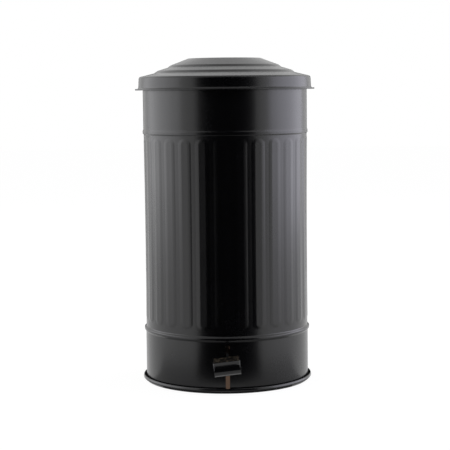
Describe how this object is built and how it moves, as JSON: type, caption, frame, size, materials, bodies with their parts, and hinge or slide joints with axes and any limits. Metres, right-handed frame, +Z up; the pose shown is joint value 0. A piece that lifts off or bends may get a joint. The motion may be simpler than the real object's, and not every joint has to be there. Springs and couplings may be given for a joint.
{
  "type": "trash can",
  "caption": "Round black steel pedal bin with ribbed body, stepped cap lid on a rear hinge, front pedal linkage and lift-out inner bucket.",
  "frame": {"origin": "middle of the footprint's bounding rectangle, on the floor; the can's own axis lies 16.5 mm behind it", "axes": "+Z up along the can, -Y to the front where the pedal is, +X to the viewer's right"},
  "size_m": [0.2844, 0.316, 0.513],
  "materials": {
    "black_paint": "satin black enamel",
    "ring_plastic": "semi-gloss black plastic",
    "bright_steel": "plain galvanised sheet",
    "zinc_steel": "zinc plated",
    "lever_paint": "black paint",
    "bush_plastic": "natural nylon",
    "gloss_black": "gloss black enamel",
    "grit": "coarse anti-slip strip",
    "buffer_rubber": "soft black rubber",
    "bucket_plastic": "fine matt black plastic",
    "grip_plastic": "matt black plastic"
  },
  "bodies": {
    "can": {"body_shell": "black_paint", "base_ring": "ring_plastic", "shelf": "bright_steel", "pivot_bracket": "zinc_steel", "pivot_rivets": "zinc_steel", "pivot_pin": "zinc_steel", "pivot_clip": "zinc_steel", "rod_guides": "zinc_steel", "hinge_bracket": "black_paint", "hinge_rivets": "black_paint", "hinge_pin": "zinc_steel", "hinge_clip": "zinc_steel"},
    "lid": {"lid_shell": "black_paint", "lid_bracket": "black_paint", "lid_buffers": "buffer_rubber"},
    "pedal": {"pedal_lever": "lever_paint", "pivot_bush": "bush_plastic", "pedal_pad": "gloss_black", "pad_grip": "grit"},
    "rod": {"lift_rod": "zinc_steel", "rod_top_pin": "zinc_steel", "rod_foot_pin": "zinc_steel", "rod_clips": "zinc_steel"},
    "bucket": {"bucket": "bucket_plastic"},
    "bail": {"bail_wire": "zinc_steel", "bail_grip": "grip_plastic"}
  },
  "joints": [
    {"name": "lid_open", "type": "hinge", "parent": "can", "child": "lid", "pos_m": [0, 0.152, 0.46], "axis": [-1, 0, 0], "range_deg": [0, 65]},
    {"name": "pedal_press", "type": "hinge", "parent": "can", "child": "pedal", "pos_m": [0, 0.0285, 0.05], "axis": [1, 0, 0], "range_deg": [0, 9.4]},
    {"name": "rod_lift", "type": "slide", "parent": "can", "child": "rod", "axis": [0, 0, 1], "range_m": [0, 0.0179]},
    {"name": "bucket_lift", "type": "slide", "parent": "can", "child": "bucket", "axis": [0, 0, 1], "range_m": [0, 0.008]},
    {"name": "bail_swing", "type": "hinge", "parent": "bucket", "child": "bail", "pos_m": [0, 0.0165, 0.4423], "axis": [-1, 0, 0], "range_deg": [0, 15]}
  ],
  "couplings": [
    {"joint": "rod_lift", "follows": "lid_open", "m_per_rad": 0.015724},
    {"joint": "pedal_press", "follows": "lid_open", "ratio": 0.14424}
  ]
}
